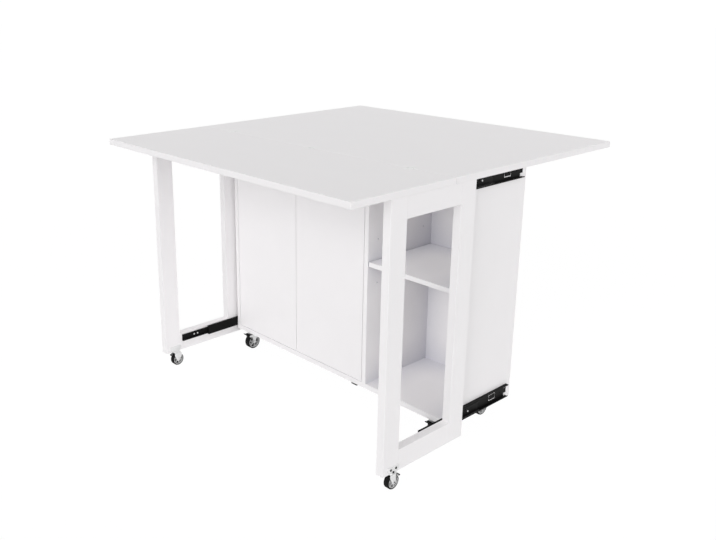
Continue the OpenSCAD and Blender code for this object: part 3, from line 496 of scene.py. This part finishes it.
CASTERS = ("front_left", "front_right", "back_left", "back_right")
WHEEL_HALF = 12.0
FORK_IN = 13.2
FORK_PLATE = 2.0
FORK_OUT = FORK_IN + FORK_PLATE
FORK_UNDER = 60.2
FORK_HEAD = ((0.0, 4.05), (0.0, 16.4), (0.6, 17.0), (2.6, 17.0), (3.6, 16.4), (4.0, 15.4),
             (4.0, 4.05))
BRIDGE_INSET = 0.6
BRIDGE_THICK = 2.4
BRIDGE_BEFORE_AXLE = 14.0
BRIDGE_PAST_SWIVEL = 3.5
CHEEK_TOP = 2.5
CHEEK_NECK = 8.0
CHEEK_NECK_BEFORE = 11.0
CHEEK_NECK_BEHIND = 13.0
CHEEK_BEFORE_AXLE = 12.0
CHEEK_PAST_PIN = 4.0
CHEEK_STEP = 26.5
CHEEK_PAST_SWIVEL = 4.0
CHEEK_REAR = 3.0
CHEEK_FOOT = [(-4.6, 3.0), (-5.3, -1.2), (-2.4, -4.9), (2.4, -4.9), (5.3, -1.2), (4.6, 3.0)]
BOLT_PAST = 1.9
NUT_HIGH = 2.0
NUT_FLAT = 9.0
NUT_MIDDLE = 0.01
NUT_SHOULDER = 0.75
NUT_TOP = 0.48
PEDAL_PIN_R = 1.48
PEDAL_PIN_PAST = 0.6
CHEEK_HOLE_R = 1.53
PEDAL_BORE_R = 1.55
PEDAL_TILT = 22.5
PEDAL_HALF = FORK_IN - 0.6
PEDAL_WIDE = FORK_IN + 1.4
PEDAL_REACH = 16.5
PEDAL_EAR = 6.6
PEDAL_WAIST = 6.1
PEDAL_PLATE_HALF = 1.0
PEDAL_LIP = (-1.6, 2.0)
PEDAL_LIP_LONG = 2.0
PEDAL_HUB_R = 3.2
PEDAL_SHOE = 7.9
PEDAL_SHOE_HALF = 2.0
PEDAL_SHOE_INSET = 3.0
PEDAL_RIBS = range(-3, 4)
PEDAL_RIB_PITCH = 3.8
PEDAL_RIB_HALF = 0.5
PEDAL_RIB_RISE = (0.8, 1.4)
PEDAL_RIB_FROM_TIP = 3.0
PEDAL_RIB_END = 7.5


def hex_nut(centre, start, side):
    """A hexagon nut along X with its outer corners turned round; side is the way it faces."""
    corner = NUT_FLAT / math.sqrt(3)
    profile = [(0, NUT_MIDDLE), (0, corner), (NUT_HIGH * NUT_SHOULDER, corner),
               (NUT_HIGH, NUT_FLAT * NUT_TOP), (NUT_HIGH, NUT_MIDDLE)]
    nut = turned(profile, "X", steps=6)
    return moved(nut, Matrix.Translation(centre + Vector((start, 0, 0)))
                 @ Matrix.Scale(side, 4, (1, 0, 0)))


def caster_fork(swivel, axle, brake_pin):
    """A pressed fork: round head, two cheeks that sweep back to the axle, and a bridge between."""
    x, y = swivel.x, swivel.y
    head = turned([(FORK_UNDER + a, r) for a, r in FORK_HEAD], "Z", (x, y, 0))
    bridge_half = FORK_OUT - BRIDGE_INSET
    bridge = soft_box((x - bridge_half, axle.y - BRIDGE_BEFORE_AXLE, FORK_UNDER),
                      (x + bridge_half, y + BRIDGE_PAST_SWIVEL, FORK_UNDER + BRIDGE_THICK),
                      edge=0.5)
    front = brake_pin.y - CHEEK_PAST_PIN if brake_pin else axle.y - CHEEK_BEFORE_AXLE
    back, top, neck = y + CHEEK_PAST_SWIVEL, FORK_UNDER + CHEEK_TOP, FORK_UNDER - CHEEK_NECK
    cheek = [(back, top), (front, top), (front, axle.z + CHEEK_STEP),
             (axle.y - CHEEK_NECK_BEFORE, neck)]
    cheek += [(axle.y + a, axle.z + b) for a, b in CHEEK_FOOT]
    cheek += [(axle.y + CHEEK_NECK_BEHIND, neck), (back, FORK_UNDER - CHEEK_REAR)]
    parts = [head, bridge]
    for start in (x - FORK_OUT, x + FORK_IN):
        plate = cut_plate(cheek, "X", start, FORK_PLATE, corner=1.3, edge=0.35)
        if brake_pin:
            hole = rod("X", (0, brake_pin.y, brake_pin.z), start - CUT_PAST,
                       start + FORK_PLATE + CUT_PAST, CHEEK_HOLE_R, steps=PIN_STEPS)
            plate = carved(plate, hole)
        parts.append(plate)
    return joined(*parts)


def caster_bolt(axle):
    """The axle: a bolt with a hexagon head on one side and a nut on the other."""
    shank = rod("X", axle, -FORK_OUT - BOLT_PAST, FORK_OUT + BOLT_PAST, AXLE_R, edge=0.5)
    return joined(shank, hex_nut(axle, -FORK_OUT, -1), hex_nut(axle, FORK_OUT, 1))


def pedal_pin(pin):
    end = FORK_OUT + PEDAL_PIN_PAST
    return rod("X", pin, -end, end, PEDAL_PIN_R, edge=0.3, steps=PIN_STEPS)


def brake_pedal(pivot):
    """A moulded pedal: hub on its pin, a ribbed foot plate with a turned-up lip, and a shoe."""
    half, tip = PEDAL_HALF, -PEDAL_REACH
    barrel = rod("X", ORIGIN, -half, half, PEDAL_HUB_R, edge=0.4)
    bore = rod("X", ORIGIN, -half - CUT_PAST, half + CUT_PAST, PEDAL_BORE_R, steps=PIN_STEPS)
    plate = [(half, tip), (PEDAL_WIDE, -PEDAL_EAR), (half, -PEDAL_WAIST), (half, 0)]
    low, high = PEDAL_LIP
    shoe = half - PEDAL_SHOE_INSET
    parts = [carved(barrel, bore),
             cut_plate(both_sides(plate), "Z", -PEDAL_PLATE_HALF, 2 * PEDAL_PLATE_HALF,
                       corner=0.5, edge=0.3),
             soft_box((-half, tip, low), (half, tip + PEDAL_LIP_LONG, high), edge=0.8, segments=3),
             soft_box((-shoe, -PEDAL_SHOE_HALF, -PEDAL_SHOE), (shoe, PEDAL_SHOE_HALF, 0),
                      edge=0.6)]
    root, crest = PEDAL_RIB_RISE
    for number in PEDAL_RIBS:
        middle = number * PEDAL_RIB_PITCH
        parts.append(soft_box((middle - PEDAL_RIB_HALF, tip + PEDAL_RIB_FROM_TIP, root),
                              (middle + PEDAL_RIB_HALF, -PEDAL_RIB_END, crest),
                              edge=0.2, segments=1))
    tilt = Matrix.Rotation(math.radians(-PEDAL_TILT), 4, "X")
    return moved(joined(*parts), Matrix.Translation(pivot) @ tilt)


def cabinet_caster(corner, braked):
    swivel, axle = joint_at(corner + "_swivel_turn"), joint_at(corner + "_wheel_spin")
    pin = joint_at(corner + "_brake_press") if braked else None
    turning, fork = corner + "_swivel", corner + "_fork"
    piece(corner + "_fork_pressing", caster_fork(swivel, axle, pin), "zinc_steel", turning, fork)
    piece(corner + "_axle_bolt", caster_bolt(axle), "zinc_steel", turning, fork)
    wheel(corner, axle, WHEEL_HALF, corner + "_roller", corner + "_wheel")
    if braked:
        piece(corner + "_pedal_pin", pedal_pin(pin), "zinc_steel", turning, fork)
        piece(corner + "_foot_pedal", brake_pedal(pin), "black_plastic", corner + "_brake",
              corner + "_pedal")


for corner in CASTERS:
    cabinet_caster(corner, braked=corner.startswith("front"))


# Casters under the gate frames: on the right frame's outer face and, turned half round, on the
# left frame's inner face. Their shapes are drawn about the wheel's middle: the hood's arch along
# and down from its crown and along and up from the axle, its ear along and up from the axle.

LEG_WHEEL_HALF = 9.0
LEG_GAP = 0.7
HOOD_SHEET = 1.5
LEG_REACH = LEG_WHEEL_HALF + LEG_GAP + HOOD_SHEET
HOOD_HALF = 14.0
HOOD_BELOW_BOARD = 0.2
HOOD_UPPER = ((-14, 0), (-16, -7), (-15, -13))
HOOD_LOWER = ((-8.5, 3), (-6.8, -3.5), (-3, -7))
HOOD_EAR = ((8, 4), (17, 15.5), (17.2, 20), (16.5, 24))
HOOD_EAR_TOP = 10
BRACKET_OFF = 5.5
BRACKET_PLATE = 2.0
BRACKET_HALF = 24.0
BRACKET_TALL = 24.0
BRACKET_BELOW_BOARD = 1.8
BRACKET_FOOT_IN = 10.0
BRACKET_FOOT_UP = 12.0
BRACKET_SCREWS = ((-11.3, 14.0), (11.3, 14.0), (0.0, 3.5))
RIVET_HIGH = 1.4
RIVET_PAST_AXLE = 1.6
RIVET_NIB = 0.1
LEVER_TILT = 20
LEVER_LONG = 12
LEVER_NECK = LEVER_LONG - 4
LEVER_ARM = ((-3.4, -2.6), (LEVER_NECK, -2.5), (LEVER_LONG, -1.5), (LEVER_LONG, 1.5),
             (LEVER_NECK, 2.5), (-3.4, 2.6))
LEVER_ARM_HALF = 1.0
LEVER_BORE_R = 1.55
LEVER_PIN = (-2.8, 1.7)
LEVER_PIN_R = 1.45
LEVER_RIVET = (1.1, 1.8)
LEVER_RIVET_R = 2.6
LEVER_TAB_HALF = 1.5
LEVER_TAB = (-15.0, -0.5)


def wheel_hood(z, board_bottom):
    """A pressed bracket: a plate for the frame's face and an arched hood over the wheel."""
    crown = board_bottom - HOOD_BELOW_BOARD
    arch = both_sides([(a, crown + b) for a, b in HOOD_UPPER] + [(a, z + b) for a, b in HOOD_LOWER])
    ear = [(a, z + b) for a, b in HOOD_EAR] + [(HOOD_EAR_TOP, crown)]
    low = board_bottom - BRACKET_BELOW_BOARD
    back = both_sides([(BRACKET_HALF - BRACKET_FOOT_IN, low),
                       (BRACKET_HALF, low + BRACKET_FOOT_UP), (BRACKET_HALF, low + BRACKET_TALL)])
    outer = LEG_REACH - HOOD_SHEET
    return joined(
        cut_plate(arch, "X", -LEG_REACH, HOOD_SHEET, corner=2.5, edge=0.3),
        cut_plate(arch, "X", outer, HOOD_SHEET, corner=2.5, edge=0.3),
        cut_plate(ear, "X", outer, HOOD_SHEET, corner=2.5, edge=0.3),
        soft_box((-LEG_REACH, -HOOD_HALF, crown - HOOD_SHEET), (LEG_REACH, HOOD_HALF, crown),
                 edge=0.6, segments=3),
        cut_plate(back, "X", BRACKET_OFF, BRACKET_PLATE, corner=3.5, edge=0.4))


def caster_rivets(z, pivot):
    """The wheel's axle and the lever's pin, riveted over at their ends."""
    axle, end, head_r = (0, 0, z), LEG_REACH + RIVET_HIGH, AXLE_R + RIVET_PAST_AXLE
    return joined(rod("X", axle, -end - RIVET_NIB, end, AXLE_R, edge=0.4),
                  rod("X", axle, -end, -LEG_REACH, head_r, edge=0.6),
                  rod("X", axle, LEG_REACH, end, head_r, edge=0.6),
                  rod("X", pivot, *LEVER_PIN, LEVER_PIN_R, edge=0.2, steps=PIN_STEPS),
                  rod("X", pivot, *LEVER_RIVET, LEVER_RIVET_R, edge=0.3, steps=PIN_STEPS))


def brake_lever(pivot):
    """A bent lever: an arm beside the wheel and a foot tab across the tyre."""
    arm = cut_plate(LEVER_ARM, "X", -LEVER_ARM_HALF, 2 * LEVER_ARM_HALF, corner=1.3, edge=0.4)
    bore_end = LEVER_ARM_HALF + CUT_PAST
    bore = rod("X", ORIGIN, -bore_end, bore_end, LEVER_BORE_R, steps=PIN_STEPS)
    tab = soft_box((LEVER_TAB[0], LEVER_NECK, -LEVER_TAB_HALF),
                   (LEVER_TAB[1], LEVER_LONG, LEVER_TAB_HALF), edge=0.7, segments=3)
    tilt = Matrix.Rotation(math.radians(-LEVER_TILT), 4, "X")
    return moved(joined(carved(arm, bore), tab), Matrix.Translation(pivot) @ tilt)


def frame_caster(side, turn):
    axle, pivot = joint_at(side + "_leg_wheel_spin"), joint_at(side + "_leg_brake_press")
    spot = Matrix.Translation((axle.x, axle.y, 0)) @ Matrix.Rotation(math.radians(turn), 4, "Z")
    local_pivot = spot.inverted() @ pivot
    hood = wheel_hood(axle.z, low_corner(side + "_frame_front_stile").z)
    body, node = side + "_frame", side + "_frame_caster"
    piece(side + "_wheel_hood", moved(hood, spot), "bracket_steel", body, node)
    piece(side + "_caster_rivets", moved(caster_rivets(axle.z, local_pivot), spot), "zinc_steel",
          body, node)
    wheel(side + "_leg", axle, LEG_WHEEL_HALF, side + "_leg_wheel", side + "_frame_wheel")
    piece(side + "_foot_lever", moved(brake_lever(local_pivot), spot), "black_plastic",
          side + "_leg_brake", side + "_frame_brake")


def bracket_screws(side, head_x, facing, shank):
    """Three screws: on the right through the bracket's plate, on the left through the stile."""
    axle = joint_at(side + "_leg_wheel_spin")
    bottom = low_corner(side + "_frame_front_stile").z
    heads = [Vector((head_x, axle.y + a, bottom + b)) for a, b in BRACKET_SCREWS]
    screw = cross_screw(head_r=3.8, head_h=1.8, shank_r=1.6, shank_len=shank)
    piece(side + "_bracket_screws", screw_set(screw, heads, Vector((facing, 0, 0))),
          "black_steel", side + "_frame", side + "_frame_caster")


frame_caster("right", 0)
frame_caster("left", 180)
bracket_screws("right", high_corner("right_frame_front_stile").x + BRACKET_PLATE, facing=1,
               shank=11)
bracket_screws("left", low_corner("left_frame_front_stile").x, facing=-1, shank=30)


# Swivel plates under the cabinet: the raceway and the kingpin are drawn up from their underside

PLATE_HALF = 31.0
PLATE_CUT = 5.0
PLATE_THICK = 2.5
PLATE_SCREW_IN = 23.0
RACEWAY = ((0.5, 0), (-5, 0), (-5, 15.5), (-4.4, 16.8), (-3, 17.2), (-2, 17.4), (-1.2, 18.2),
           (0, 19), (0.5, 19))
KINGPIN = ((-4, 0), (-9.6, 0), (-11.2, 0), (-11.4, 2), (-11, 5), (-10, 6.4), (-9.6, 6.4),
           (-9.6, 3.9), (-4, 3.9))


def swivel_plate(x, y, under):
    """A square plate with cut corners, its pressed raceway and the riveted kingpin."""
    half, short = PLATE_HALF, PLATE_HALF - PLATE_CUT
    square = both_sides([(short, -half), (half, -short), (half, short), (short, half)])
    bottom = under - PLATE_THICK
    plate = cut_plate([(x + a, y + b) for a, b in square], "Z", bottom, PLATE_THICK, edge=0.4)
    raceway = turned([(bottom + a, r) for a, r in RACEWAY], "Z", (x, y, 0))
    kingpin = turned([(bottom + a, r) for a, r in KINGPIN], "Z", (x, y, 0), steps=32)
    return joined(plate, raceway, kingpin)


def swivel_plates():
    under = low_corner("bottom_panel").z
    plates, heads = [], []
    for corner in CASTERS:
        swivel = joint_at(corner + "_swivel_turn")
        plates.append(swivel_plate(swivel.x, swivel.y, under))
        heads += [Vector((swivel.x + a * PLATE_SCREW_IN, swivel.y + b * PLATE_SCREW_IN,
                          under - PLATE_THICK)) for a in (-1, 1) for b in (-1, 1)]
    piece("swivel_plates", joined(*plates), "zinc_steel", "cabinet", "caster_plates")
    screw = cross_screw(head_r=4, head_h=1.9, shank_r=2, shank_len=10)
    piece("swivel_plate_screws", screw_set(screw, heads, Vector((0, 0, -1))), "zinc_steel",
          "cabinet", "caster_screws")


swivel_plates()


# Ball slides: two on each side of the cabinet. Places across a slide are out from the cabinet's
# wall, places along it are back from the member's front end.

SHEET = 1.2
LIP = 2.4
SLIDE_HALF = 22.5
SLIDE_WIDE = 12.7
BALL_R = 1.72
BALL_GAP = 3.7
BALLS = 5
BALL_PITCH = 14.0
ROW_LONG = BALLS * BALL_PITCH
ROW_INSET = 6.0
CAGE_HALF = (1.35, 0.45)
MIDDLE_HALF = SLIDE_HALF - SHEET - BALL_GAP
MIDDLE_WEB = 2.2
MIDDLE_LIPS = 11.4
MIDDLE_LEAD = 26.0
INNER_HALF = MIDDLE_HALF - SHEET - BALL_GAP
INNER_LIPS = 4.6
OUTER_ROW_AT = 5.55
INNER_ROW_AT = 7.55
INNER_SCREWS = (57.0, 73.0, 203.0)
OUTER_SCREWS = (94.0, 268.0)
STUD_FRONT = 240.0
STUD_R = 3.0
STUD_ACROSS = (2.6, 9.9)


def side_wall(side):
    """Where the cabinet's side is, and the way it faces along X."""
    if side == "right":
        return high_corner("right_side_panel").x, 1
    return low_corner("left_side_panel").x, -1


def slide_heights():
    """The middles of the lower and the upper slides."""
    return (low_corner("slide_outers").z + SLIDE_HALF, high_corner("slide_outers").z - SLIDE_HALF)


def slide_channel(web, lips, half, start, end, z):
    """A rolled channel along Y: web and lips are where it starts and ends along X."""
    t = SHEET if lips > web else -SHEET
    upper = [(web, half), (lips, half), (lips, half - LIP - SHEET), (lips - t, half - LIP - SHEET),
             (lips - t, half - SHEET), (web + t, half - SHEET)]
    lower = [(a, -b) for a, b in reversed(upper)]
    outline = [(a, z + b) for a, b in upper + lower]
    return cut_plate(outline, "Y", start, end - start, corner=0.35, edge=0.15)


def ball_cage(x, start, z):
    """The strip that carries a row of balls."""
    across, rise = CAGE_HALF
    return soft_box((x - across, start, z - rise), (x + across, start + ROW_LONG, z + rise),
                    edge=0.15, segments=1)


def ball_row(x, start, z):
    balls = []
    for number in range(BALLS):
        ball = bmesh.new()
        bmesh.ops.create_icosphere(ball, subdivisions=3, radius=BALL_R)
        spot = Vector((x, start + BALL_PITCH * (number + 0.5), z))
        balls.append(moved(ball, Matrix.Translation(spot)))
    return joined(*balls)


def stop_stud(wall, sign, front, z):
    """The stud in a middle member's web that stops the inner member."""
    aim = Matrix.Rotation(0 if sign > 0 else math.pi, 4, "Z")
    return moved(rod("X", ORIGIN, *STUD_ACROSS, STUD_R, edge=0.4, steps=24),
                 Matrix.Translation((wall, front, z)) @ aim)


def ball_slides(side):
    """The middle and inner members of one side's two slides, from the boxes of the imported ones."""
    wall, sign = side_wall(side)
    middles, inners = side + "_slide_middles", side + "_slide_inners"
    y_middle, y_inner = low_corner(middles).y, low_corner(inners).y
    length = high_corner(middles).y - y_middle
    board = wall + sign * SLIDE_WIDE
    rows = ((OUTER_ROW_AT, y_middle + length - ROW_LONG - ROW_INSET, MIDDLE_HALF),
            (INNER_ROW_AT, y_middle + MIDDLE_LEAD + ROW_INSET, INNER_HALF))
    outer_shapes, cages, balls, inner_shapes, heads, studs = [], [], [], [], [], []
    for z in slide_heights():
        outer_shapes.append(slide_channel(wall + sign * MIDDLE_WEB, wall + sign * MIDDLE_LIPS,
                                          MIDDLE_HALF, y_middle, y_middle + length, z))
        inner_shapes.append(slide_channel(board, wall + sign * INNER_LIPS, INNER_HALF, y_inner,
                                          y_inner + length, z))
        studs.append(stop_stud(wall, sign, y_middle + STUD_FRONT, z))
        for up in (-1, 1):
            for across, start, member_half in rows:
                spot = (wall + sign * across, start, z + up * (member_half + BALL_GAP / 2))
                cages.append(ball_cage(*spot))
                balls.append(ball_row(*spot))
        heads += [Vector((board - sign * SHEET, y_inner + a, z)) for a in INNER_SCREWS]
    screw = cross_screw(head_r=3.4, head_h=1.1, shank_r=1.7, shank_len=9)
    gliding, frame_body = side + "_middle_members", side + "_frame"
    piece(side + "_middle_channels", joined(*outer_shapes), "black_steel", gliding, middles)
    piece(side + "_ball_cages", joined(*cages), "grey_plastic", gliding, middles)
    piece(side + "_slide_balls", joined(*balls), "zinc_steel", gliding, middles,
          finish=BALL_STEEL, sharp=60)
    piece(side + "_stop_studs", joined(*studs), "zinc_steel", gliding, middles)
    piece(side + "_inner_channels", joined(*inner_shapes), "black_steel", frame_body, inners)
    piece(side + "_inner_screws", screw_set(screw, heads, Vector((-sign, 0, 0))), "zinc_steel",
          frame_body, inners)


def outer_screws():
    """The screws that hold the outer members to the cabinet's sides."""
    screw = cross_screw(head_r=3.3, head_h=0.75, shank_r=1.7, shank_len=9)
    front = low_corner("slide_outers").y
    sets = []
    for wall, sign in (side_wall("left"), side_wall("right")):
        heads = [Vector((wall + sign * SHEET, front + a, z))
                 for a in OUTER_SCREWS for z in slide_heights()]
        sets.append(screw_set(screw, heads, Vector((sign, 0, 0))))
    piece("outer_member_screws", joined(*sets), "black_steel", "cabinet", "slide_screws")


ball_slides("right")
ball_slides("left")
outer_screws()


# Studio: white floor that keeps the island's shadow, white world, soft lamps

BACKDROP = 1.03
FLOOR_LEVEL = 0.85
FLOOR_GLOW = 0.93
FLOOR_SIZE = 30.0


def studio_floor():
    """A floor that looks nearly as white as the backdrop and still takes a shadow."""
    f = Finish("studio_floor")
    base = f.add("ShaderNodeBsdfDiffuse", {"Color": tinted(FLOOR_LEVEL)})
    glow = f.add("ShaderNodeEmission", {"Color": tinted(1.0), "Strength": BACKDROP})
    seen = f.add("ShaderNodeLightPath", out="Is Camera Ray")
    mirrored = f.add("ShaderNodeLightPath", out="Is Glossy Ray")
    through = f.add("ShaderNodeLightPath", out="Is Transmission Ray")
    share = FLOOR_GLOW * (seen + mirrored + through)
    shader = f.add("ShaderNodeMixShader", {0: share, 1: base, 2: glow})
    f.add("ShaderNodeOutputMaterial", {"Surface": shader})
    bm = bmesh.new()
    bmesh.ops.create_grid(bm, x_segments=1, y_segments=1, size=FLOOR_SIZE)
    mesh = bpy.data.meshes.new("floor")
    bm.to_mesh(mesh)
    bm.free()
    mesh.materials.append(f.holder)
    floor = bpy.data.objects.new("floor", mesh)
    bpy.context.collection.objects.link(floor)


def studio_world(strength):
    """A sky that lights softly and is seen and mirrored as plain white."""
    f = Finish("studio", bpy.data.worlds.new("studio"))
    seen = f.add("ShaderNodeLightPath", out="Is Camera Ray")
    mirrored = f.add("ShaderNodeLightPath", out="Is Glossy Ray")
    lit = f.add("ShaderNodeBackground", {"Color": tinted(1.0), "Strength": strength})
    white = f.add("ShaderNodeBackground", {"Color": tinted(1.0), "Strength": BACKDROP})
    plain = f.maths("MAXIMUM", seen, mirrored)
    shader = f.add("ShaderNodeMixShader", {0: plain, 1: lit, 2: white})
    f.add("ShaderNodeOutputWorld", {"Surface": shader})
    bpy.context.scene.world = f.holder


def soft_sun(name, towards, strength, spread, shadow=True, glare=True):
    """A wide sun that shines along the direction towards, its spread in degrees."""
    lamp = bpy.data.lights.new(name, "SUN")
    lamp.energy = strength
    lamp.use_shadow = shadow
    lamp.angle = math.radians(spread)
    sun = bpy.data.objects.new(name, lamp)
    sun.visible_glossy = glare
    sun.rotation_euler = Vector(towards).to_track_quat("-Z", "Y").to_euler()
    bpy.context.collection.objects.link(sun)


studio_floor()
studio_world(strength=0.38)
soft_sun("front_light", (-0.25, 1.0, -0.27), strength=1.48, spread=46)
soft_sun("right_light", (-1.0, 0.2, -0.15), strength=1.33, spread=50)
soft_sun("back_light", (0.35, -1.0, -0.1), strength=0.9, spread=30, glare=False)
soft_sun("fill_light", (0.0, 0.0, -1.0), strength=0.58, spread=30, shadow=False, glare=False)


# Camera at the photograph's place

def photo_camera():
    lens = bpy.data.cameras.new("camera")
    lens.sensor_width = SENSOR_MM
    lens.lens = FOCAL_PX * SENSOR_MM / IMAGE_W
    lens.shift_x = (IMAGE_W / 2 - CENTRE_PX[0]) / IMAGE_W
    lens.shift_y = (CENTRE_PX[1] - IMAGE_H / 2) / IMAGE_W
    lens.clip_start = 0.05
    lens.clip_end = 200
    camera = bpy.data.objects.new("camera", lens)
    turn = Matrix.Rotation(math.radians(CAMERA_YAW), 4, "Z")
    tip = Matrix.Rotation(math.radians(90 - CAMERA_DOWN), 4, "X")
    roll = Matrix.Rotation(math.radians(CAMERA_ROLL), 4, "Z")
    camera.matrix_world = Matrix.Translation(CAMERA_AT) @ turn @ tip @ roll
    bpy.context.collection.objects.link(camera)
    bpy.context.scene.camera = camera
    bpy.context.scene.view_settings.view_transform = "Standard"


photo_camera()
